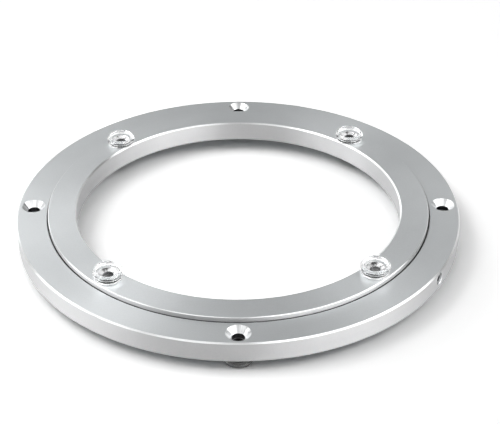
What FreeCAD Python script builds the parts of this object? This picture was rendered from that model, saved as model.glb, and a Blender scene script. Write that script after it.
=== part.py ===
import FreeCAD, Part
import Sketcher
import os

# Lazy susan bearing: two flat aluminium rings, one inside the other, that turn on a row of steel balls.
# Millimetres. +Z is up, the origin is on the floor under the centre, and -Y is the front.
# The inner ring stands a little proud of the outer one and carries four clear pads for the tray.
# The outer ring stands on four more pads and has four countersunk holes.

doc = FreeCAD.newDocument("lazy_susan_bearing")

# Driving sizes, each with what it measures. Everything else is worked out from these.
SIZES = [
    ("outer_diameter", 200.0, "outside of the outer ring"),
    ("outer_width", 13.45, "width of the outer ring, from its outside to the gap"),
    ("outer_height", 9.5, "thickness of the outer ring"),
    ("ring_gap", 0.6, "open width between the two rings"),
    ("inner_width", 12.65, "width of the inner ring, from the gap to the open middle"),
    ("inner_height", 9.7, "thickness of the inner ring"),
    ("inner_rise", 1.9, "top of the inner ring above the top of the outer ring"),
    ("wall_chamfer", 0.6, "chamfer on the outer and inner walls of the bearing"),
    ("gap_chamfer", 0.3, "chamfer on the edges beside the gap"),
    ("ball_diameter", 3.97, "steel ball"),
    ("ball_count", 24, "number of balls"),
    ("race_clearance", 0.05, "play between a ball and its race"),
    ("cage_thickness", 0.3, "radial thickness of the ball cage"),
    ("cage_rail", 0.9, "height of the cage above and below its pockets"),
    ("pocket_clearance", 0.1, "play round a ball in its pocket"),
    ("hole_inset", 6.8, "centre of a countersunk hole in from the outside"),
    ("hole_count", 4, "number of countersunk holes, each with a foot below it"),
    ("hole_diameter", 5.5, "clearance bore of a countersunk hole"),
    ("countersink_diameter", 10.4, "mouth of the ninety degree countersink"),
    ("stud_diameter", 5.0, "threaded stud of a pad screw"),
    ("stud_reach", 4.6, "length of a stud inside its ring"),
    ("stud_tip", 0.5, "chamfer at the end of a stud"),
    ("thread_clearance", 0.05, "play round a stud or plug in its hole"),
    ("thread_spare", 0.2, "tapped depth beyond the end of a foot stud"),
    ("pad_inset", 5.7, "centre of a pad out from the open middle"),
    ("pad_angle", 46.6, "angle of the first pad from the +X axis"),
    ("pad_count", 4, "number of pads on the inner ring"),
    ("pad_height", 3.8, "height of a pad, and so the height of the outer ring above the floor"),
    ("pad_lip_height", 1.9, "height of the wide lip"),
    ("pad_lip_round", 0.7, "rounded side of the lip, from its widest part in to the flat rim"),
    ("pad_rim", 0.3, "width of the flat rim on top of the lip"),
    ("pad_flare", 0.75, "widening of the well from the screw head up to the rim"),
    ("pad_tier_inset", 0.4, "tier of a pad next to its ring, in from the lip"),
    ("pad_neck_inset", 0.75, "groove between the tier and the lip, in from the lip"),
    ("pad_neck_height", 0.4, "height of that groove"),
    ("pad_edge", 0.2, "chamfer on the lip's lower edge"),
    ("pad_wall", 1.2, "wall of the tier round the hollow under a pad"),
    ("pad_boss_wall", 1.2, "wall of the boss round the stud inside that hollow"),
    ("pad_hollow_depth", 0.3, "depth of that hollow"),
    ("pad_web", 0.4, "thickness of the pad between that hollow and the screw head"),
    ("head_diameter", 9.0, "low head of a pad screw"),
    ("head_height", 1.1, "height of the head"),
    ("head_edge", 0.3, "width of the head's outer bevel, and of the flat rim inside it"),
    ("dish_depth", 0.4, "depth of the dished top of the head, down to its socket"),
    ("head_clearance", 0.35, "play round the head in the well of a pad"),
    ("head_flats", 4.0, "hexagon socket of the head, across flats"),
    ("head_socket_depth", 0.8, "depth of that socket below the dish"),
    ("plug_diameter", 5.0, "grub screw that closes the ball filling hole"),
    ("plug_recess", 0.6, "outer end of the plug below the outer wall"),
    ("plug_race_gap", 0.05, "inner end of the plug short of the race"),
    ("plug_edge", 0.5, "chamfer at both ends of the plug"),
    ("plug_angle", -31.4, "angle of the filling hole from the +X axis"),
    ("plug_mouth", 0.3, "chamfer at the mouth of the filling hole"),
    ("plug_flats", 2.5, "hexagon socket of the plug, across flats"),
    ("plug_socket_depth", 3.0, "depth of that socket"),
]
sizes = doc.addObject("Spreadsheet::Sheet", "sizes")
for row, (alias, size, note) in enumerate(SIZES, start=1):
    sizes.set(f"A{row}", note)
    sizes.set(f"B{row}", str(size))
    sizes.setAlias(f"B{row}", alias)
doc.recompute()

# Places that several pieces share, as formulas of the sheet.
OUTER_RADIUS = "(sizes.outer_diameter / 2)"
OUTER_WALL = f"({OUTER_RADIUS} - sizes.outer_width)"
INNER_WALL = f"({OUTER_WALL} - sizes.ring_gap)"
BORE_RADIUS = f"({INNER_WALL} - sizes.inner_width)"
BALL_RADIUS = f"({OUTER_WALL} - sizes.ring_gap / 2)"
HOLE_RADIUS = f"({OUTER_RADIUS} - sizes.hole_inset)"
PAD_RADIUS = f"({BORE_RADIUS} + sizes.pad_inset)"
STUD_HOLE = "(sizes.stud_diameter / 2 + sizes.thread_clearance)"
PLUG_HOLE = "(sizes.plug_diameter / 2 + sizes.thread_clearance)"
RACE = "(sizes.ball_diameter / 2 + sizes.race_clearance)"
RACE_REACH = f"sqrt({RACE}^2 - (sizes.ring_gap / 2)^2)"
# The inner ring starts this far above the bottom of the outer ring.
INNER_LIFT = "(sizes.outer_height + sizes.inner_rise - sizes.inner_height)"
# The balls run in the middle of the height that the two rings share, measured from the outer ring's bottom.
BALL_LEVEL = f"(({INNER_LIFT} + sizes.outer_height) / 2)"
PLUG_END = f"({BALL_RADIUS} + {RACE} + sizes.plug_race_gap)"

# Shared helpers


def plane_of(body, role):
    """One of the body's own origin planes or axes."""
    return next(item for item in body.Origin.OriginFeatures if item.Role == role)


def new_body(name):
    body = doc.addObject("PartDesign::Body", name)
    body.Label = name
    return body


def new_sketch(body, name, role, **shift):
    """A sketch on an origin plane, shifted in that plane's own axes by formulas of the sheet."""
    sketch = body.newObject("Sketcher::SketchObject", name)
    sketch.AttachmentSupport = [(plane_of(body, role), "")]
    sketch.MapMode = "FlatFace"
    for part, formula in shift.items():
        path = "Rotation.Angle" if part == "turn" else f"Base.{part}"
        sketch.setExpression(f"AttachmentOffset.{path}", formula)
    doc.recompute()
    return sketch


def pin(sketch, edge, end, formulas):
    """Hold one end of an edge at two formulas, along the sketch's two axes."""
    for kind, axis, formula in zip(("DistanceX", "DistanceY"), (-2, -1), formulas):
        if formula == "0":
            sketch.addConstraint(Sketcher.Constraint("PointOnObject", edge, end, axis))
            continue
        length = float(sketch.evalExpression(formula))
        index = sketch.addConstraint(Sketcher.Constraint(kind, -1, 1, edge, end, length))
        sketch.setExpression(f"Constraints[{index}]", formula)


def arc_between(start, finish, radius, bulge):
    """The short arc from start to finish. A bulge of 1 turns left on the way, and -1 turns right."""
    middle = (start + finish) / 2
    chord = finish - start
    side = FreeCAD.Vector(-chord.y, chord.x, 0).normalize()
    rise = max(radius**2 - (chord.Length / 2) ** 2, 0.0) ** 0.5
    centre = middle + side * (rise * bulge)
    top = centre - side * (radius * bulge)
    return Part.Arc(start, top, finish)


def outline(sketch, corners, arcs=None):
    """A closed outline through the corners. arcs holds radius and bulge for the edge that leaves a corner."""
    arcs = arcs or {}
    spots = [
        FreeCAD.Vector(*(float(sketch.evalExpression(formula)) for formula in corner), 0)
        for corner in corners
    ]
    ends = []
    for index, start in enumerate(spots):
        finish = spots[(index + 1) % len(spots)]
        if index not in arcs:
            sketch.addGeometry(Part.LineSegment(start, finish), False)
            ends.append((1, 2))
            continue
        radius, bulge = arcs[index]
        curve = arc_between(start, finish, float(sketch.evalExpression(radius)), bulge)
        sketch.addGeometry(curve, False)
        ends.append((1, 2) if bulge > 0 else (2, 1))
    for index, corner in enumerate(corners):
        before = index - 1 if index else len(corners) - 1
        joint = Sketcher.Constraint("Coincident", before, ends[before][1], index, ends[index][0])
        sketch.addConstraint(joint)
        pin(sketch, index, ends[index][0], corner)
    for index, (radius, _) in arcs.items():
        length = float(sketch.evalExpression(radius))
        number = sketch.addConstraint(Sketcher.Constraint("Radius", index, length))
        sketch.setExpression(f"Constraints[{number}]", radius)
    doc.recompute()


def turn(body, name, sketch, kind="Revolution", axis="V_Axis"):
    """A full revolve of the sketch about one of its own axes: a Revolution adds and a Groove cuts."""
    before = body.Shape.Volume if kind == "Groove" else 0.0
    feature = body.newObject(f"PartDesign::{kind}", name)
    feature.Profile = sketch
    feature.ReferenceAxis = (sketch, [axis])
    feature.Angle = 360
    doc.recompute()
    assert kind == "Revolution" or feature.Shape.Volume < before, f"{name} cuts nothing"
    return feature


def repeat(body, name, feature, count, angle=360):
    """Copies of a feature round the body's upright axis."""
    pattern = body.newObject("PartDesign::PolarPattern", name)
    pattern.Originals = [feature]
    pattern.Axis = (plane_of(body, "Z_Axis"), [""])
    pattern.Angle = angle
    pattern.setExpression("Occurrences", count)
    body.Tip = pattern
    doc.recompute()
    return pattern


def hex_socket(body, name, role, flats, depth, mouth):
    """A hexagon socket that goes down from the mouth's level, seen along the normal of an origin plane."""
    before = body.Shape.Volume
    socket = body.newObject("PartDesign::SubtractivePrism", name)
    socket.AttachmentSupport = [(plane_of(body, role), "")]
    socket.MapMode = "FlatFace"
    socket.Polygon = 6
    socket.setExpression("Circumradius", f"{flats} / sqrt(3)")
    socket.setExpression("Height", depth)
    socket.setExpression("AttachmentOffset.Base.z", f"{mouth} - {depth}")
    doc.recompute()
    assert socket.Shape.Volume < before, f"{name} cuts nothing"


def place(body, height, radius="0", angle="0"):
    """Set a body down on a circle round the bearing's axis."""
    body.setExpression("Placement.Base.x", f"{radius} * cos({angle} * 1 deg)")
    body.setExpression("Placement.Base.y", f"{radius} * sin({angle} * 1 deg)")
    body.setExpression("Placement.Base.z", height)


# Outer ring


def outer_ring():
    """Flat ring with a ball race in its inner wall, stepped countersunk holes and a filling hole."""
    body = new_body("outer_ring")
    section = new_sketch(body, "outer_section", "XZ_Plane")
    corners = [
        (f"{OUTER_WALL} + sizes.gap_chamfer", "0"),
        (f"{OUTER_RADIUS} - sizes.wall_chamfer", "0"),
        (OUTER_RADIUS, "sizes.wall_chamfer"),
        (OUTER_RADIUS, "sizes.outer_height - sizes.wall_chamfer"),
        (f"{OUTER_RADIUS} - sizes.wall_chamfer", "sizes.outer_height"),
        (f"{OUTER_WALL} + sizes.gap_chamfer", "sizes.outer_height"),
        (OUTER_WALL, "sizes.outer_height - sizes.gap_chamfer"),
        (OUTER_WALL, f"{BALL_LEVEL} + {RACE_REACH}"),
        (OUTER_WALL, f"{BALL_LEVEL} - {RACE_REACH}"),
        (OUTER_WALL, "sizes.gap_chamfer"),
    ]
    outline(section, corners, {7: (RACE, -1)})
    turn(body, "outer_turned", section)

    # The bore of a hole stops at the tapped part that takes the foot's stud from below.
    tapped = "(sizes.stud_reach + sizes.thread_spare)"
    sink = "(sizes.countersink_diameter - sizes.hole_diameter) / 2"
    hole = new_sketch(body, "hole_section", "XZ_Plane", x=HOLE_RADIUS)
    corners = [
        ("0", "0"),
        (STUD_HOLE, "0"),
        (STUD_HOLE, tapped),
        ("sizes.hole_diameter / 2", tapped),
        ("sizes.hole_diameter / 2", f"sizes.outer_height - {sink}"),
        ("sizes.countersink_diameter / 2", "sizes.outer_height"),
        ("0", "sizes.outer_height"),
    ]
    outline(hole, corners)
    first = turn(body, "hole", hole, "Groove")
    repeat(body, "holes", first, "sizes.hole_count")

    # Balls go in through this hole, which the plug closes.
    mouth = f"{PLUG_HOLE} + sizes.plug_mouth"
    filling = new_sketch(body, "filling_section", "XY_Plane", z=BALL_LEVEL, turn="sizes.plug_angle")
    corners = [
        (BALL_RADIUS, "0"),
        (f"{OUTER_RADIUS} + sizes.plug_mouth", "0"),
        (f"{OUTER_RADIUS} + sizes.plug_mouth", f"{mouth} + sizes.plug_mouth"),
        (f"{OUTER_RADIUS} - sizes.plug_mouth", PLUG_HOLE),
        (BALL_RADIUS, PLUG_HOLE),
    ]
    outline(filling, corners)
    turn(body, "filling_hole", filling, "Groove", "H_Axis")
    place(body, "sizes.pad_height")
    return body


# Inner ring


def inner_ring():
    """Flat ring with a ball race in its outer wall and a tapped hole through it under each pad."""
    body = new_body("inner_ring")
    level = f"({BALL_LEVEL} - {INNER_LIFT})"
    section = new_sketch(body, "inner_section", "XZ_Plane")
    corners = [
        (f"{BORE_RADIUS} + sizes.wall_chamfer", "0"),
        (f"{INNER_WALL} - sizes.gap_chamfer", "0"),
        (INNER_WALL, "sizes.gap_chamfer"),
        (INNER_WALL, f"{level} - {RACE_REACH}"),
        (INNER_WALL, f"{level} + {RACE_REACH}"),
        (INNER_WALL, "sizes.inner_height - sizes.gap_chamfer"),
        (f"{INNER_WALL} - sizes.gap_chamfer", "sizes.inner_height"),
        (f"{BORE_RADIUS} + sizes.wall_chamfer", "sizes.inner_height"),
        (BORE_RADIUS, "sizes.inner_height - sizes.wall_chamfer"),
        (BORE_RADIUS, "sizes.wall_chamfer"),
    ]
    outline(section, corners, {3: (RACE, -1)})
    turn(body, "inner_turned", section)

    x = f"{PAD_RADIUS} * cos(sizes.pad_angle * 1 deg)"
    y = f"{PAD_RADIUS} * sin(sizes.pad_angle * 1 deg)"
    tap = new_sketch(body, "tapped_section", "XY_Plane", x=x, y=y)
    tap.addGeometry(Part.Circle(), False)
    tap.addConstraint(Sketcher.Constraint("Coincident", 0, 3, -1, 1))
    size = tap.addConstraint(Sketcher.Constraint("Radius", 0, float(tap.evalExpression(STUD_HOLE))))
    tap.setExpression(f"Constraints[{size}]", STUD_HOLE)
    first = body.newObject("PartDesign::Pocket", "tapped_hole")
    first.Profile = tap
    first.Type = "ThroughAll"
    first.Reversed = True
    doc.recompute()
    assert first.Shape.Volume < first.BaseFeature.Shape.Volume, "the tapped hole cuts nothing"
    repeat(body, "tapped_holes", first, "sizes.pad_count")
    place(body, f"sizes.pad_height + {INNER_LIFT}")
    return body


# Balls and cage


def steel_balls():
    """One ball, repeated round the race."""
    body = new_body("steel_balls")
    body.AllowCompound = True
    ball = body.newObject("PartDesign::AdditiveSphere", "ball")
    ball.AttachmentSupport = [(plane_of(body, "XY_Plane"), "")]
    ball.MapMode = "FlatFace"
    ball.setExpression("Radius", "sizes.ball_diameter / 2")
    ball.setExpression("AttachmentOffset.Base.x", BALL_RADIUS)
    doc.recompute()
    repeat(body, "balls", ball, "sizes.ball_count")
    place(body, f"sizes.pad_height + {BALL_LEVEL}")
    return body


def ball_cage():
    """Thin band in the gap between the rings, with a round pocket for each ball."""
    body = new_body("ball_cage")
    inside = f"({BALL_RADIUS} - sizes.cage_thickness / 2)"
    outside = f"({BALL_RADIUS} + sizes.cage_thickness / 2)"
    opening = "(sizes.ball_diameter / 2 + sizes.pocket_clearance)"
    height = f"2 * ({opening} + sizes.cage_rail)"
    section = new_sketch(body, "cage_section", "XZ_Plane")
    corners = [(inside, "0"), (outside, "0"), (outside, height), (inside, height)]
    outline(section, corners)
    turn(body, "cage_band", section)

    pocket = new_sketch(body, "pocket_section", "XY_Plane", z=f"{opening} + sizes.cage_rail")
    corners = [
        (f"{inside} - sizes.cage_thickness", "0"),
        (f"{outside} + sizes.cage_thickness", "0"),
        (f"{outside} + sizes.cage_thickness", opening),
        (f"{inside} - sizes.cage_thickness", opening),
    ]
    outline(pocket, corners)
    first = turn(body, "pocket", pocket, "Groove", "H_Axis")
    repeat(body, "pockets", first, "sizes.ball_count")
    place(body, f"sizes.pad_height + {BALL_LEVEL} - {opening} - sizes.cage_rail")
    return body


# Plug


def ball_plug():
    """Grub screw along its own X axis, from the race to just under the outer wall."""
    body = new_body("ball_plug")
    end = f"({OUTER_RADIUS} - sizes.plug_recess)"
    section = new_sketch(body, "plug_section", "XY_Plane")
    corners = [
        (PLUG_END, "0"),
        (end, "0"),
        (end, "sizes.plug_diameter / 2 - sizes.plug_edge"),
        (f"{end} - sizes.plug_edge", "sizes.plug_diameter / 2"),
        (f"{PLUG_END} + sizes.plug_edge", "sizes.plug_diameter / 2"),
        (PLUG_END, "sizes.plug_diameter / 2 - sizes.plug_edge"),
    ]
    outline(section, corners)
    turn(body, "plug_turned", section, axis="H_Axis")
    hex_socket(body, "plug_socket", "YZ_Plane", "sizes.plug_flats", "sizes.plug_socket_depth", end)
    body.setExpression("Placement.Rotation.Angle", "sizes.plug_angle")
    place(body, f"sizes.pad_height + {BALL_LEVEL}")
    return body


# Pads and their screws, each modelled upwards from the face of the ring that carries it

WELL_FLOOR = "(sizes.pad_hollow_depth + sizes.pad_web)"
HEAD_TOP = f"({WELL_FLOOR} + sizes.head_height)"


def pad(name):
    """Clear moulded pad: a tier against the ring, a groove, a rounded lip and a flared well for the screw head."""
    body = new_body(name)
    well = "(sizes.head_diameter / 2 + sizes.head_clearance)"
    mouth = f"({well} + sizes.pad_flare)"
    rim = f"({mouth} + sizes.pad_rim)"
    lip = f"({rim} + sizes.pad_lip_round)"
    lip_bottom = "(sizes.pad_height - sizes.pad_lip_height)"
    tier = f"({lip} - sizes.pad_tier_inset)"
    neck = f"({lip} - sizes.pad_neck_inset)"
    boss = f"({STUD_HOLE} + sizes.pad_boss_wall)"
    # The lip's side starts upright and leans in over its rise, as an arc of this radius.
    rise = "(sizes.pad_lip_height - sizes.pad_edge)"
    side_radius = f"((sizes.pad_lip_round^2 + {rise}^2) / (2 * sizes.pad_lip_round))"
    section = new_sketch(body, f"{name}_section", "XZ_Plane")
    corners = [
        (STUD_HOLE, "0"),
        (boss, "0"),
        (boss, "sizes.pad_hollow_depth"),
        (f"{tier} - sizes.pad_wall", "sizes.pad_hollow_depth"),
        (f"{tier} - sizes.pad_wall", "0"),
        (tier, "0"),
        (tier, f"{lip_bottom} - sizes.pad_neck_height"),
        (neck, f"{lip_bottom} - sizes.pad_neck_height"),
        (neck, lip_bottom),
        (f"{lip} - sizes.pad_edge", lip_bottom),
        (lip, f"{lip_bottom} + sizes.pad_edge"),
        (rim, "sizes.pad_height"),
        (mouth, "sizes.pad_height"),
        (well, HEAD_TOP),
        (well, WELL_FLOOR),
        (STUD_HOLE, WELL_FLOOR),
    ]
    outline(section, corners, {10: (side_radius, 1)})
    turn(body, f"{name}_turned", section)
    return body


def pad_screw(name):
    """Low headed screw with a dished top and a hexagon socket, its head in the pad's well."""
    body = new_body(name)
    head = "(sizes.head_diameter / 2)"
    # Its sketch starts at the tip of the stud, so heights there are measured from the tip.
    section = new_sketch(body, f"{name}_section", "XZ_Plane", y="-sizes.stud_reach")
    corners = [
        ("0", "0"),
        ("sizes.stud_diameter / 2 - sizes.stud_tip", "0"),
        ("sizes.stud_diameter / 2", "sizes.stud_tip"),
        ("sizes.stud_diameter / 2", f"sizes.stud_reach + {WELL_FLOOR}"),
        (head, f"sizes.stud_reach + {WELL_FLOOR}"),
        (head, f"sizes.stud_reach + {HEAD_TOP} - sizes.head_edge"),
        (f"{head} - sizes.head_edge", f"sizes.stud_reach + {HEAD_TOP}"),
        (f"{head} - 2 * sizes.head_edge", f"sizes.stud_reach + {HEAD_TOP}"),
        ("sizes.head_flats / sqrt(3)", f"sizes.stud_reach + {HEAD_TOP} - sizes.dish_depth"),
        ("0", f"sizes.stud_reach + {HEAD_TOP} - sizes.dish_depth"),
    ]
    outline(section, corners)
    turn(body, f"{name}_turned", section)
    mouth = f"({HEAD_TOP} - sizes.dish_depth)"
    hex_socket(body, f"{name}_socket", "XY_Plane", "sizes.head_flats", "sizes.head_socket_depth", mouth)
    return body


def tray_pads():
    """Pads on the inner ring, a quarter turn apart, with their screws."""
    made = []
    top = f"sizes.pad_height + {INNER_LIFT} + sizes.inner_height"
    for index, corner in enumerate(("rear_right", "rear_left", "front_left", "front_right")):
        angle = f"(sizes.pad_angle + 360 * {index} / sizes.pad_count)"
        for body in (pad(f"pad_{corner}"), pad_screw(f"pad_screw_{corner}")):
            body.setExpression("Placement.Rotation.Angle", angle)
            place(body, top, PAD_RADIUS, angle)
            made.append(body)
    return made


def feet():
    """The same pads upside down under the outer ring, one below each countersunk hole."""
    made = []
    upside_down = FreeCAD.Rotation(FreeCAD.Vector(1, 0, 0), 180)
    for index, side in enumerate(("right", "rear", "left", "front")):
        angle = f"(360 * {index} / sizes.hole_count)"
        for body in (pad(f"foot_{side}"), pad_screw(f"foot_screw_{side}")):
            body.Placement = FreeCAD.Placement(FreeCAD.Vector(), upside_down)
            place(body, "sizes.pad_height", HOLE_RADIUS, angle)
            made.append(body)
    return made


bodies = [outer_ring(), inner_ring(), steel_balls(), ball_cage(), ball_plug()] + tray_pads() + feet()
doc.recompute()

# Nothing is written unless every object is sound.
for item in doc.Objects:
    assert "Invalid" not in item.State and "Error" not in item.State, f"{item.Label}: {item.State}"
for body in bodies:
    assert not body.Shape.isNull() and body.Shape.isValid(), f"{body.Label} has no valid shape"

os.makedirs("parts", exist_ok=True)
for body in bodies:
    body.Shape.exportStep(f"parts/{body.Label}.step")
    solids = len(body.Shape.Solids)
    print(f"{body.Label}: {solids} solids, {body.Shape.Volume:.1f} mm3, {body.Shape.BoundBox}")
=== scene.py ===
import math

import bpy
from mathutils import Matrix, Vector


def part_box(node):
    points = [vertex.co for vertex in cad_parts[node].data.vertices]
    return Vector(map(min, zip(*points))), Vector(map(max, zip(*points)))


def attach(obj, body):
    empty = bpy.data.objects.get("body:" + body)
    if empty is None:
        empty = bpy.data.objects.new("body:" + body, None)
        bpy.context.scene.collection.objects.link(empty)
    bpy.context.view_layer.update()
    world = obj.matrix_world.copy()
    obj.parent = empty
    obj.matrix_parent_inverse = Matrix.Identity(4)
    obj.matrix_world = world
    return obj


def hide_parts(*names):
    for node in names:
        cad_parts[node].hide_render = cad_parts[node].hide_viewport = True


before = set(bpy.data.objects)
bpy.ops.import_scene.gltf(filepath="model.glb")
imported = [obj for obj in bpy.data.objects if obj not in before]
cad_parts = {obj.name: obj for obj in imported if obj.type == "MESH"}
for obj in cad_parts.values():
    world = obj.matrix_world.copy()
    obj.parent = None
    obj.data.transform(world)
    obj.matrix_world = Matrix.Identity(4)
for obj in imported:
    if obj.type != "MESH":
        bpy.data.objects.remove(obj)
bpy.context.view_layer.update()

# A lazy susan bearing. Metres, in the frame of the model: +Z up, the floor at zero, -Y the front.
MM = 0.001


def middle_of(node):
    """The middle of a node's box, and its angle round the bearing's axis."""
    middle = sum(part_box(node), Vector()) / 2
    return middle, math.atan2(middle.y, middle.x)


# Pads, as radii and as heights above the ring's face that carries them
STUD_HOLE = 2.55 * MM
BOSS = 3.75 * MM
WELL = 4.85 * MM
MOUTH = 5.6 * MM
RIM = 5.9 * MM
PAD_LIP = 6.6 * MM
PAD_TIER = 6.2 * MM
PAD_NECK = 5.85 * MM
PAD_WALL = 1.2 * MM
HOLLOW = 0.3 * MM
WELL_FLOOR = 0.7 * MM
NECK_BOTTOM = 1.5 * MM
LIP_BOTTOM = 1.9 * MM
PAD_EDGE = 0.2 * MM
PAD_HEIGHT = 3.8 * MM
# Glass that touches metal face to face shimmers, so a pad stays this far off what it touches.
HAIR = 0.01 * MM

# Screws of the pads, as radii and as heights above that same face
STUD = 2.5 * MM
HEAD = 4.5 * MM
HEAD_TOP = 1.8 * MM
HEAD_EDGE = 0.3 * MM
DISH = 0.9 * MM
HEAD_FLATS = 4.0 * MM
HEAD_SOCKET = 1.2 * MM
HEAD_DRILL = 0.25 * MM
SOCKET_EDGE = 0.08 * MM
SHANK = -0.8 * MM
STUD_REACH = 4.6 * MM
STUD_TIP = 0.5 * MM

# Thread of the studs and the plug. The crest and the flank are shares of half a pitch.
PITCH = 0.8 * MM
THREAD_DEPTH = 0.42 * MM
THREAD_CREST = 0.2
THREAD_FLANK = 0.65
ROWS_PER_PITCH = 10

# Grub screw in the ball filling hole
PLUG = 2.5 * MM
PLUG_EDGE = 0.5 * MM
PLUG_FACE = 1.9 * MM
PLUG_FLATS = 2.5 * MM
PLUG_SOCKET = 3.0 * MM
PLUG_DRILL = 0.3 * MM
PLUG_MOUTH = 0.1 * MM
PLUG_RECESS = 0.6 * MM
PLUG_INNER = 88.335 * MM

# Circle of the outer ring's screw holes, and the radius of a countersink
RING_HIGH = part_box("outer_ring")[1]
PLUG_OUTER = RING_HIGH.x - PLUG_RECESS
HOLE_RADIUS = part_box("foot_screw_right")[0].x + HEAD
COUNTERSINK = 5.2 * MM
# Gap between the rings, painted dark as shade as far as its reach to each side of its middle, below its lit
# edge.
GAP = 0.6 * MM
GAP_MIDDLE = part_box("inner_ring")[1].x + GAP / 2
GAP_REACH = 0.4 * MM
GAP_EDGE = 0.35 * MM
# Circle of the pads, the angle of one of them, and the radius of the painted shade under each
PAD_SPOT, PAD_ANGLE = middle_of("pad_rear_right")
PAD_PLACE = PAD_SPOT.to_2d().length
PAD_SHADE = 4.7 * MM

# Meshes

SEGMENTS = 96
ARC_STEPS = 8
CORNER_STEPS = 3
SOFT_EDGE = 0.15 * MM
SHARP = math.radians(35)


def soften(corners, closed=True):
    """The outline with its corners rounded a little, so that they catch the light."""
    rounded = []
    for index, corner in enumerate(corners):
        if not closed and index in (0, len(corners) - 1):
            rounded.append(corner)
            continue
        spot = Vector(corner)
        before = Vector(corners[index - 1]) - spot
        after = Vector(corners[(index + 1) % len(corners)]) - spot
        # Two corners on one short side each take less than half of it.
        reach = min(SOFT_EDGE, 0.4 * before.length, 0.4 * after.length)
        start = spot + before.normalized() * reach
        finish = spot + after.normalized() * reach
        for step in range(CORNER_STEPS + 1):
            share = step / CORNER_STEPS
            point = start.lerp(spot, share).lerp(spot.lerp(finish, share), share)
            rounded.append(tuple(point))
    return rounded


def spin(name, rows, closed=False):
    """A surface turned about its own Z axis. A row is a radius and a height, and its radius may be a
    function of the angle. A row of radius zero is one point on the axis. A closed surface joins its last
    row to its first."""
    points, rings, faces = [], [], []
    for radius, height in rows:
        if not callable(radius) and radius <= 0:
            rings.append([len(points)] * SEGMENTS)
            points.append((0.0, 0.0, height))
            continue
        ring = []
        for step in range(SEGMENTS):
            angle = 2 * math.pi * step / SEGMENTS
            reach = radius(angle) if callable(radius) else radius
            ring.append(len(points))
            points.append((reach * math.cos(angle), reach * math.sin(angle), height))
        rings.append(ring)
    pairs = list(zip(rings, rings[1:]))
    if closed:
        pairs.append((rings[-1], rings[0]))
    for low, high in pairs:
        for step in range(SEGMENTS):
            ahead = (step + 1) % SEGMENTS
            face = [low[step], low[ahead], high[ahead], high[step]]
            face = [index for place, index in enumerate(face) if index != face[place - 1]]
            if len(face) > 2:
                faces.append(face)
    mesh = bpy.data.meshes.new(name)
    mesh.from_pydata(points, [], faces)
    mesh.shade_smooth()
    mesh.set_sharp_from_angle(angle=SHARP)
    mesh.update()
    return mesh


def hexagon(flats):
    """The radius of a hexagon at an angle. Its corners are at 0, 60, 120 degrees and so on."""
    sixth = math.pi / 3
    return lambda angle: flats / 2 / math.cos(angle % sixth - sixth / 2)


def tooth(height, major):
    """The radius of a threaded rod at a height, as a function of the angle: flat crests, sloping flanks and
    narrow roots."""
    def radius(angle):
        phase = (height / PITCH - angle / (2 * math.pi)) % 1
        slope = abs(2 * phase - 1)
        return major - THREAD_DEPTH * min(1.0, max(0.0, (slope - THREAD_CREST) / THREAD_FLANK))
    return radius


def thread(low, high, major, tip):
    """Rows of a threaded rod from its chamfered tip up to its head or its other end."""
    rows = [(0, low), (major - tip - THREAD_DEPTH, low)]
    count = math.ceil((high - low - tip) / PITCH * ROWS_PER_PITCH)
    for step in range(count + 1):
        height = low + tip + (high - low - tip) * step / count
        rows.append((tooth(height, major), height))
    return rows


def pad_mesh():
    """Clear pad with a tier, a groove, a rounded lip, a flared well for the screw's head and a hollow
    underneath."""
    boss_wall = PAD_TIER - PAD_WALL
    corners = [
        (STUD_HOLE, HAIR),
        (BOSS, HAIR),
        (BOSS, HOLLOW),
        (boss_wall, HOLLOW),
        (boss_wall, HAIR),
        (PAD_TIER, HAIR),
        (PAD_TIER, NECK_BOTTOM),
        (PAD_NECK, NECK_BOTTOM),
        (PAD_NECK, LIP_BOTTOM),
        (PAD_LIP - PAD_EDGE, LIP_BOTTOM),
    ]
    # The side of the lip is an arc that starts upright at its lower edge.
    start, lean = LIP_BOTTOM + PAD_EDGE, PAD_LIP - RIM
    rise = PAD_HEIGHT - start
    side = (lean**2 + rise**2) / (2 * lean)
    for step in range(ARC_STEPS + 1):
        turn = math.asin(rise / side) * step / ARC_STEPS
        corners.append((PAD_LIP - side + side * math.cos(turn), start + side * math.sin(turn)))
    corners += [
        (MOUTH, PAD_HEIGHT),
        (WELL, HEAD_TOP),
        (WELL, WELL_FLOOR - HAIR),
        (STUD_HOLE, WELL_FLOOR - HAIR),
    ]
    return spin("pad", soften(corners), closed=True)


def screw_mesh():
    """Low headed screw with a threaded stud, a plain shank, a dished top and a hexagon socket."""
    mouth = HEAD_TOP - DISH
    profile = [
        (STUD, SHANK),
        (STUD, WELL_FLOOR),
        (HEAD, WELL_FLOOR),
        (HEAD, HEAD_TOP - HEAD_EDGE),
        (HEAD - HEAD_EDGE, HEAD_TOP),
        (HEAD - 2 * HEAD_EDGE, HEAD_TOP),
        (HEAD_FLATS / math.sqrt(3), mouth),
    ]
    rows = thread(-STUD_REACH, SHANK, STUD, STUD_TIP)
    rows += soften(profile, closed=False)
    rows += [
        (hexagon(HEAD_FLATS + 2 * SOCKET_EDGE), mouth),
        (hexagon(HEAD_FLATS), mouth - SOCKET_EDGE),
        (hexagon(HEAD_FLATS), mouth - HEAD_SOCKET),
        (0, mouth - HEAD_SOCKET - HEAD_DRILL),
    ]
    return spin("screw", rows)


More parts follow.
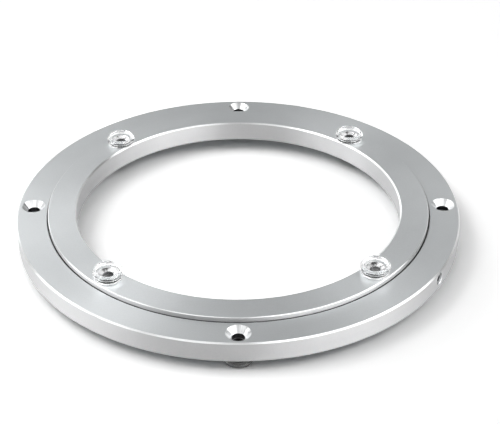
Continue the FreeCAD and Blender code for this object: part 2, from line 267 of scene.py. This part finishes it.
def plug_mesh(length):
    """Grub screw that stands on its inner end, with its socket at the top."""
    rows = thread(0, length - PLUG_EDGE, PLUG, PLUG_EDGE)
    profile = [
        (PLUG - THREAD_DEPTH, length - PLUG_EDGE),
        (PLUG_FACE, length),
        (PLUG_FLATS / math.sqrt(3) + PLUG_MOUTH / 2, length),
    ]
    rows += soften(profile, closed=False)
    rows += [
        (hexagon(PLUG_FLATS), length - PLUG_MOUTH),
        (hexagon(PLUG_FLATS), length - PLUG_SOCKET),
        (0, length - PLUG_SOCKET - PLUG_DRILL),
    ]
    return spin("plug", rows)


# Materials

# Darker and lighter shades of the rings: the skin on flat faces and on walls, cut edges and countersinks
FACE_SHADES = (0.57, 0.59, 0.60), (0.64, 0.66, 0.67)
WALL_SHADES = (0.59, 0.592, 0.597), (0.66, 0.662, 0.667)
EDGE_SHADES = (0.82, 0.83, 0.835), (0.87, 0.88, 0.885)
CONE_SHADES = (0.5, 0.505, 0.51), (0.84, 0.85, 0.855)
# Painted shade for the bores' walls, the gap between the rings and the ring's face under each pad
PAINTED_SHADE = (0.07, 0.07, 0.073)

# The height of a face's normal tells how it lies: a wall's is under its limit, and a chamfer's is near that
# of a face at 45 degrees.
WALL_LIMIT = 0.3
CHAMFER_LEAN = math.sqrt(0.5)
CHAMFER_SPAN = 0.1

# Noise rarely leaves this span.
NOISE_SPAN = (0.3, 0.7)
# The drill's streaks are as wide as if drawn on a circle of this radius.
STREAK_RADIUS = 4 * MM
# Painted shade on steel is this share of bright steel; a socket's inside is painted this far towards it.
SHADE_SHARE = 0.08
SOCKET_SHADE = 0.65
# What clear plastic lets through to its shadow
CLEAR_SHADOW = (0.6, 0.61, 0.61, 1)


class Nodes:
    """The node tree of a material or the world, with short names for what they share."""

    def __init__(self, owner):
        owner.use_nodes = True
        self.owner = owner
        self.tree = owner.node_tree
        self.coordinates = self.new("TexCoord").outputs
        self.place = self.coordinates["Object"]

    @property
    def shader(self):
        return self.tree.nodes["Principled BSDF"]

    def new(self, kind):
        return self.tree.nodes.new(f"ShaderNode{kind}")

    def link(self, source, target):
        self.tree.links.new(source, target)

    def feed(self, socket, value):
        """A number is set on the socket, and anything else is linked to it."""
        if isinstance(value, (int, float)):
            socket.default_value = value
        else:
            self.link(value, socket)

    def axes(self, vector):
        """The three parts of a vector."""
        node = self.new("SeparateXYZ")
        self.link(vector, node.inputs[0])
        return node.outputs

    def math(self, operation, first, second=0.0):
        """A Math node. Each term is a number or a socket."""
        node = self.new("Math")
        node.operation = operation
        self.feed(node.inputs[0], first)
        self.feed(node.inputs[1], second)
        return node.outputs[0]

    def reach(self, first, second):
        """How far a point is from the origin, from its distances along two axes."""
        squares = [self.math("MULTIPLY", part, part) for part in (first, second)]
        return self.math("SQRT", self.math("ADD", *squares))

    def noise(self, scale, detail=2.0, stretch=None, vector=None):
        """Noise of a size given as features per metre, from 0 to 1."""
        node = self.new("TexNoise")
        node.inputs["Scale"].default_value = scale
        node.inputs["Detail"].default_value = detail
        source = vector or self.place
        if stretch:
            mapping = self.new("Mapping")
            mapping.inputs["Scale"].default_value = stretch
            self.link(source, mapping.inputs["Vector"])
            source = mapping.outputs["Vector"]
        self.link(source, node.inputs["Vector"])
        return node.outputs["Fac"]

    def ramp(self, value, span, low, high):
        """A number from low to high as the value goes through the span."""
        node = self.new("MapRange")
        self.link(value, node.inputs["Value"])
        node.inputs["From Min"].default_value, node.inputs["From Max"].default_value = span
        self.feed(node.inputs["To Min"], low)
        self.feed(node.inputs["To Max"], high)
        return node.outputs["Result"]

    def spread(self, noise, low=0.0, high=1.0):
        """Noise, spread over low to high."""
        return self.ramp(noise, NOISE_SPAN, low, high)

    def blend(self, factor, low, high):
        """A number from low to high as the factor goes from 0 to 1."""
        node = self.new("Mix")
        self.feed(node.inputs["Factor"], factor)
        self.feed(node.inputs["A"], low)
        self.feed(node.inputs["B"], high)
        return node.outputs["Result"]

    def shades(self, factor, dark, light):
        """A colour from dark to light as the factor goes from 0 to 1. Each end is a colour or a socket."""
        node = self.new("Mix")
        node.data_type = "RGBA"
        self.feed(node.inputs[0], factor)
        for socket, colour in ((node.inputs[6], dark), (node.inputs[7], light)):
            if isinstance(colour, tuple):
                socket.default_value = (*colour, 1)
            else:
                self.link(colour, socket)
        return node.outputs[2]

    def bump(self, height, depth, strength):
        """Relief of a depth in metres."""
        node = self.new("Bump")
        node.inputs["Strength"].default_value = strength
        node.inputs["Distance"].default_value = depth
        self.link(height, node.inputs["Height"])
        self.link(node.outputs["Normal"], self.shader.inputs["Normal"])

    def set(self, **values):
        """Values of the shader's sockets, by their names with _ for a space."""
        for name, value in values.items():
            self.feed(self.shader.inputs[name.replace("_", " ")], value)

    def surface(self, factor, first, second):
        """The surface goes from the first shader to the second as the factor goes from 0 to 1."""
        mix = self.new("MixShader")
        for socket, source in zip(mix.inputs, (factor, first, second)):
            self.link(source, socket)
        self.link(mix.outputs[0], self.tree.nodes["Material Output"].inputs["Surface"])


def new_material(name):
    return Nodes(bpy.data.materials.new(name))


def from_nearest(nodes, across, along, radius, angle=0.0):
    """How far out and how far to the side a point lies from the nearest of four spots on a circle. One spot
    is at the angle, and the others follow at quarter turns."""
    ways = []
    for turn in (angle, angle + math.pi / 2):
        first = nodes.math("MULTIPLY", across, math.cos(turn))
        second = nodes.math("MULTIPLY", along, math.sin(turn))
        ways.append(nodes.math("ABSOLUTE", nodes.math("ADD", first, second)))
    out = nodes.math("SUBTRACT", nodes.math("MAXIMUM", *ways), radius)
    return out, nodes.math("MINIMUM", *ways)


def painted_shade_mask(nodes, in_hole, on_wall):
    """Where the rings are painted dark as shade: on the bores' walls and in the gap, where shade falls, and
    under the middle of each pad, as the shade seen through the clear pad."""
    across, along, up = nodes.axes(nodes.place)
    from_gap = nodes.math("ABSOLUTE", nodes.math("SUBTRACT", nodes.reach(across, along), GAP_MIDDLE))
    in_gap = nodes.math(
        "MULTIPLY",
        nodes.math("LESS_THAN", from_gap, GAP_REACH),
        nodes.math("LESS_THAN", up, RING_HIGH.z - GAP_EDGE),
    )
    shaded_hollows = nodes.math("MAXIMUM", nodes.math("MULTIPLY", in_hole, on_wall), in_gap)
    from_pad = nodes.reach(*from_nearest(nodes, across, along, PAD_PLACE, PAD_ANGLE))
    return nodes.math("MAXIMUM", shaded_hollows, nodes.math("LESS_THAN", from_pad, PAD_SHADE))


def drill_streaks(nodes, out, side):
    """The shades of a countersink, in streaks that the drill left down its side."""
    around = nodes.math("MULTIPLY", nodes.math("ARCTAN2", side, out), STREAK_RADIUS)
    spoke = nodes.new("CombineXYZ")
    nodes.link(around, spoke.inputs[0])
    streak = nodes.noise(1500, detail=2, vector=spoke.outputs[0])
    return nodes.shades(nodes.spread(streak), *CONE_SHADES)


def ring_metal():
    """Satin anodised aluminium with a fine turned and blasted grain. The countersinks, bores and chamfers
    are cut bright after that, and painted shade darkens the bores' walls, the gap and the face under each
    pad."""
    nodes = new_material("ring_metal")
    across, along = nodes.axes(nodes.place)[:2]
    out, side = from_nearest(nodes, across, along, HOLE_RADIUS)
    in_hole = nodes.math("LESS_THAN", nodes.reach(out, side), COUNTERSINK - HAIR)
    upward = nodes.math("ABSOLUTE", nodes.axes(nodes.new("NewGeometry").outputs["Normal"])[2])
    from_chamfer = nodes.math("ABSOLUTE", nodes.math("SUBTRACT", upward, CHAMFER_LEAN))
    on_chamfer = nodes.math("LESS_THAN", from_chamfer, CHAMFER_SPAN)
    on_wall = nodes.math("LESS_THAN", upward, WALL_LIMIT)
    bright = nodes.math("MAXIMUM", in_hole, on_chamfer)
    # Painted shade: the bores' walls, the gap between the rings and the face under each pad are darkened.
    dark = painted_shade_mask(nodes, in_hole, on_wall)

    cloud = nodes.noise(38, detail=3)
    speckle = nodes.noise(1500, detail=2)
    tone = nodes.blend(0.5, cloud, speckle)
    face = nodes.shades(nodes.spread(tone), *FACE_SHADES)
    wall = nodes.shades(nodes.spread(tone), *WALL_SHADES)
    skin = nodes.shades(on_wall, face, wall)
    edge = nodes.shades(nodes.spread(speckle), *EDGE_SHADES)
    bare = nodes.shades(in_hole, edge, drill_streaks(nodes, out, side))
    satin = nodes.blend(on_wall, nodes.spread(speckle, 0.39, 0.45), nodes.spread(speckle, 0.52, 0.58))
    nodes.set(
        Base_Color=nodes.shades(dark, nodes.shades(bright, skin, bare), PAINTED_SHADE),
        Metallic=1.0,
        Roughness=nodes.blend(bright, satin, 0.28),
        Anisotropic=0.8,
        Anisotropic_Rotation=0.25,
    )
    # The turned grain runs round the bearing's axis.
    tangent = nodes.new("Tangent")
    tangent.direction_type = "RADIAL"
    tangent.axis = "Z"
    nodes.link(tangent.outputs["Tangent"], nodes.shader.inputs["Tangent"])
    nodes.bump(nodes.noise(2600, detail=1.5), 0.012 * MM, 0.5)
    return nodes.owner


def clear_plastic(name, dark, light):
    """Glossy clear plastic, a little uneven, that lets lamps reach what is behind it."""
    nodes = new_material(name)
    nodes.set(
        Base_Color=nodes.shades(nodes.noise(260), dark, light),
        Roughness=nodes.spread(nodes.noise(900), 0.04, 0.08),
        IOR=1.45,
        Transmission_Weight=0.97,
    )
    nodes.bump(nodes.noise(420, detail=1), 0.02 * MM, 0.4)
    clear = nodes.new("BsdfTransparent")
    clear.inputs["Color"].default_value = CLEAR_SHADOW
    in_shadow = nodes.new("LightPath").outputs["Is Shadow Ray"]
    nodes.surface(in_shadow, nodes.shader.outputs[0], clear.outputs[0])
    return nodes.owner


def plated_steel(name, dark, light, rough, socket):
    """Zinc plated steel with faint turning marks and stains. The thread and the side of the head are
    painted black as shade, and the socket, which has the radius given, is painted part way to that shade."""
    nodes = new_material(name)
    marks = nodes.noise(900, detail=2, stretch=(1, 1, 6))
    # The normal is taken in the screw's own frame, so that the plug, which lies down, is like the others.
    turned = nodes.new("VectorTransform")
    turned.vector_type = "NORMAL"
    turned.convert_from, turned.convert_to = "WORLD", "OBJECT"
    nodes.link(nodes.new("NewGeometry").outputs["Normal"], turned.inputs[0])
    upward = nodes.math("ABSOLUTE", nodes.axes(turned.outputs[0])[2])
    on_wall = nodes.math("LESS_THAN", upward, WALL_LIMIT)
    inside = nodes.math("LESS_THAN", nodes.reach(*nodes.axes(nodes.place)[:2]), socket)
    # Painted shade: upright faces are painted black, and the socket is painted part way to black.
    black = nodes.blend(inside, on_wall, SOCKET_SHADE)
    plate = nodes.shades(nodes.spread(nodes.noise(500, detail=3)), dark, light)
    nodes.set(
        Base_Color=nodes.shades(black, plate, tuple(SHADE_SHARE * part for part in dark)),
        Metallic=1.0,
        Roughness=nodes.spread(marks, rough, rough + 0.12),
    )
    nodes.bump(marks, 0.01 * MM, 0.5)
    return nodes.owner


def ball_chrome():
    """Polished ball steel with a thin film of grease."""
    nodes = new_material("ball_chrome")
    nodes.set(
        Base_Color=nodes.shades(nodes.noise(300), (0.7, 0.7, 0.71), (0.78, 0.78, 0.79)),
        Metallic=1.0,
        Roughness=nodes.spread(nodes.noise(700, detail=3), 0.08, 0.2),
    )
    nodes.bump(nodes.noise(1200), 0.004 * MM, 0.3)
    return nodes.owner


def cage_nylon():
    """Dark nylon, a little mottled."""
    nodes = new_material("cage_nylon")
    nodes.set(
        Base_Color=nodes.shades(nodes.noise(300, detail=3), (0.03, 0.03, 0.032), (0.06, 0.06, 0.062)),
        Roughness=nodes.spread(nodes.noise(600), 0.45, 0.6),
    )
    nodes.bump(nodes.noise(1500), 0.01 * MM, 0.4)
    return nodes.owner


# Pieces

METAL = ring_metal()
CLEAR = clear_plastic("clear_plastic", (0.975, 0.98, 0.98), (0.995, 0.995, 0.995))
# The feet are the same clear pads, tinted grey as painted shade for where they stand under the ring.
SHADED_PLASTIC = clear_plastic("shaded_clear_plastic", (0.34, 0.34, 0.34), (0.44, 0.44, 0.44))
SCREW_STEEL = plated_steel(
    "screw_steel", (0.66, 0.66, 0.67), (0.82, 0.82, 0.83), rough=0.16, socket=HEAD_FLATS / math.sqrt(3)
)
PLUG_STEEL = plated_steel(
    "plug_steel", (0.42, 0.42, 0.43), (0.56, 0.56, 0.57), rough=0.25, socket=PLUG_FLATS / math.sqrt(3)
)


def dress(node, material):
    """Give a piece of the frame that keeps its shape a finished material."""
    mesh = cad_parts[node].data
    mesh.materials.clear()
    mesh.materials.append(material)


def add_piece(name, mesh, material, place, node, body):
    """A detailed piece that stands for a node and rides on its body."""
    piece = bpy.data.objects.new(name, mesh)
    bpy.context.scene.collection.objects.link(piece)
    piece.matrix_world = place
    if not mesh.materials:
        mesh.materials.append(material)
    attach(piece, body)
    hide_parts(node)


def stand(node, up):
    """Where a pad's or screw's own frame goes: on its ring's top, or hanging upside down under it."""
    low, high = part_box(node)
    middle, angle = middle_of(node)
    turn = Matrix.Rotation(angle, 4, "Z")
    if up:
        return Matrix.Translation((middle.x, middle.y, low.z)) @ turn
    return Matrix.Translation((middle.x, middle.y, high.z)) @ turn @ Matrix.Rotation(math.pi, 4, "X")


def add_pads():
    """The four tray pads and the four feet, each with its screw."""
    pad, screw = pad_mesh(), screw_mesh()
    foot = pad.copy()
    corners = ("rear_right", "rear_left", "front_left", "front_right")
    sets = [("pad", corner, pad, CLEAR, "turntable") for corner in corners]
    sets += [("foot", side, foot, SHADED_PLASTIC, "base") for side in ("right", "rear", "left", "front")]
    for kind, where, mesh, plastic, body in sets:
        name = f"{kind}_{where}"
        place = stand(name, up=kind == "pad")
        add_piece(f"clear_{name}", mesh, plastic, place, name, body)
        name = f"{kind}_screw_{where}"
        add_piece(f"socket_{name}", screw, SCREW_STEEL, place, name, body)


def add_plug():
    """The grub screw lies along a radius of the bearing, with its socket outwards."""
    middle, angle = middle_of("ball_plug")
    turn = Matrix.Rotation(angle, 4, "Z")
    lie = turn @ Matrix.Translation((PLUG_INNER, 0, middle.z)) @ Matrix.Rotation(math.pi / 2, 4, "Y")
    plug = plug_mesh(PLUG_OUTER - PLUG_INNER)
    add_piece("grub_screw", plug, PLUG_STEEL, lie, "ball_plug", "base")


for ring in ("outer_ring", "inner_ring"):
    dress(ring, METAL)
dress("steel_balls", ball_chrome())
dress("ball_cage", cage_nylon())
add_pads()
add_plug()

# Floor, lamps and camera

FLOOR_SIZE = 6.0
# How light the floor is to the object's own lighting, in reflections and to the camera
FLOOR_LIGHT = (0.8, 0.8, 0.8)
FLOOR_MIRRORED = (1.1, 1.1, 1.1)
FLOOR_SEEN = (1.36, 1.36, 1.36)
# Where the floor begins to be plain white, and where it wholly is
FADE = (0.15, 0.4)
WORLD_LEVEL = 0.02
# Where the white horizon ends, as heights of the line of sight
HORIZON = (0.1, 0.3)
SOFTBOX_DISTANCE = 1.3

# Azimuth, elevation, width, height and radiance of each softbox
SOFTBOXES = {
    "key_left": (-97, 56, 0.95, 0.55, 4.0),
    "fill_left": (-120, 32, 1.84, 0.45, 2.2),
    "fill_right": (90, 42, 0.68, 0.9, 2.5),
    "top": (-150, 70, 0.75, 0.6, 1.2),
    "front_left": (-23, 52, 0.72, 0.45, 1.2),
    "front_right": (23, 52, 0.72, 0.45, 0.7),
}
# White panels that only the metal and the plastic reflect
PANELS = {
    "panel_right_low": (45, 12, 1.36, 0.45, 3.4),
    "panel_right_mid": (50, 32, 1.3, 0.45, 1.4),
    "panel_right": (90, 22, 0.68, 0.9, 0.6),
    "panel_left_low": (-75, 12, 1.36, 0.45, 2.9),
    "panel_rear": (-165, 36, 0.68, 0.6, 0.75),
    "panel_rear_low": (-147, 9, 0.9, 0.28, 1.6),
    "panel_rear_right": (150, 42, 0.68, 0.9, 1.1),
    "panel_front_left": (-45, 52, 1.1, 0.45, 0.8),
    "panel_front_right": (45, 52, 1.1, 0.45, 1.8),
}

# The camera, as fitted to the rings' outlines in the photograph. Angles are in degrees, and the lens and
# the sensor in millimetres.
AIM = Vector((5.217, -5.664, 13.3)) * MM
CAMERA_DISTANCE = 588.5 * MM
CAMERA_ELEVATION = 33.067
CAMERA_AZIMUTH = -0.387
LENS = 93.776
SENSOR = 36


def direction(azimuth, elevation):
    """The way from the bearing, in degrees. Azimuth 0 is the front, and it grows towards the right."""
    side, rise = math.radians(azimuth), math.radians(elevation)
    return Vector((math.sin(side) * math.cos(rise), -math.cos(side) * math.cos(rise), math.sin(rise)))


def add_floor():
    """A white sheet that keeps the bearing's shadow. It sends plain pale light to the object and shows
    white."""
    bpy.ops.mesh.primitive_plane_add(size=FLOOR_SIZE, location=(0, 0, -HAIR))
    floor = bpy.context.object
    floor.name = "floor"
    nodes = new_material("floor_white")
    nodes.tree.nodes.remove(nodes.shader)
    path = nodes.new("LightPath").outputs
    mirrored = nodes.math("MAXIMUM", path["Is Glossy Ray"], path["Is Transmission Ray"])
    tone = nodes.shades(mirrored, FLOOR_LIGHT, FLOOR_MIRRORED)
    tone = nodes.shades(path["Is Camera Ray"], tone, FLOOR_SEEN)
    paper = nodes.new("BsdfDiffuse")
    nodes.link(tone, paper.inputs["Color"])
    # Further out, where the lamps fade, what is seen of the sheet stays white.
    far = nodes.ramp(nodes.reach(*nodes.axes(nodes.place)[:2]), FADE, 0.0, 1.0)
    seen = nodes.math("MAXIMUM", mirrored, path["Is Camera Ray"])
    nodes.surface(nodes.math("MULTIPLY", far, seen), paper.outputs[0], nodes.new("Emission").outputs[0])
    floor.data.materials.append(nodes.owner)


def add_softbox(name, azimuth, elevation, width, height, radiance):
    """A lamp that faces the bearing."""
    way = direction(azimuth, elevation)
    lamp = bpy.data.lights.new(name, "AREA")
    lamp.shape = "RECTANGLE"
    lamp.size, lamp.size_y = width, height
    # A flat lamp of this power shines with the radiance given.
    lamp.energy = radiance * width * height * math.pi
    softbox = bpy.data.objects.new(name, lamp)
    softbox.location = way * SOFTBOX_DISTANCE
    softbox.rotation_euler = way.to_track_quat("Z", "Y").to_euler()
    bpy.context.scene.collection.objects.link(softbox)
    return softbox


def add_world():
    """A dim surround. It shows white to the camera and through clear plastic, and in metal it shows a white
    horizon."""
    nodes = Nodes(bpy.data.worlds.new("studio"))
    height = nodes.axes(nodes.coordinates["Generated"])[2]
    path = nodes.new("LightPath").outputs
    mirrored = nodes.math("MULTIPLY", path["Is Glossy Ray"], nodes.ramp(height, HORIZON, 1.0, WORLD_LEVEL))
    seen = nodes.math("MAXIMUM", path["Is Camera Ray"], path["Is Transmission Ray"])
    shown = nodes.math("MAXIMUM", mirrored, seen)
    background = nodes.tree.nodes["Background"].inputs
    background["Color"].default_value = (1, 1, 1, 1)
    nodes.link(nodes.math("MAXIMUM", shown, WORLD_LEVEL), background["Strength"])
    bpy.context.scene.world = nodes.owner


def add_camera():
    """The photograph's viewpoint."""
    back = direction(CAMERA_AZIMUTH, CAMERA_ELEVATION)
    data = bpy.data.cameras.new("camera")
    data.lens = LENS
    data.sensor_width = SENSOR
    camera = bpy.data.objects.new("camera", data)
    camera.location = AIM + back * CAMERA_DISTANCE
    camera.rotation_euler = back.to_track_quat("Z", "Y").to_euler()
    bpy.context.scene.collection.objects.link(camera)
    bpy.context.scene.camera = camera


add_floor()
for name, softbox in SOFTBOXES.items():
    add_softbox(name, *softbox)
for name, panel in PANELS.items():
    add_softbox(name, *panel).visible_diffuse = False
add_world()
add_camera()
bpy.context.scene.view_settings.view_transform = "Standard"
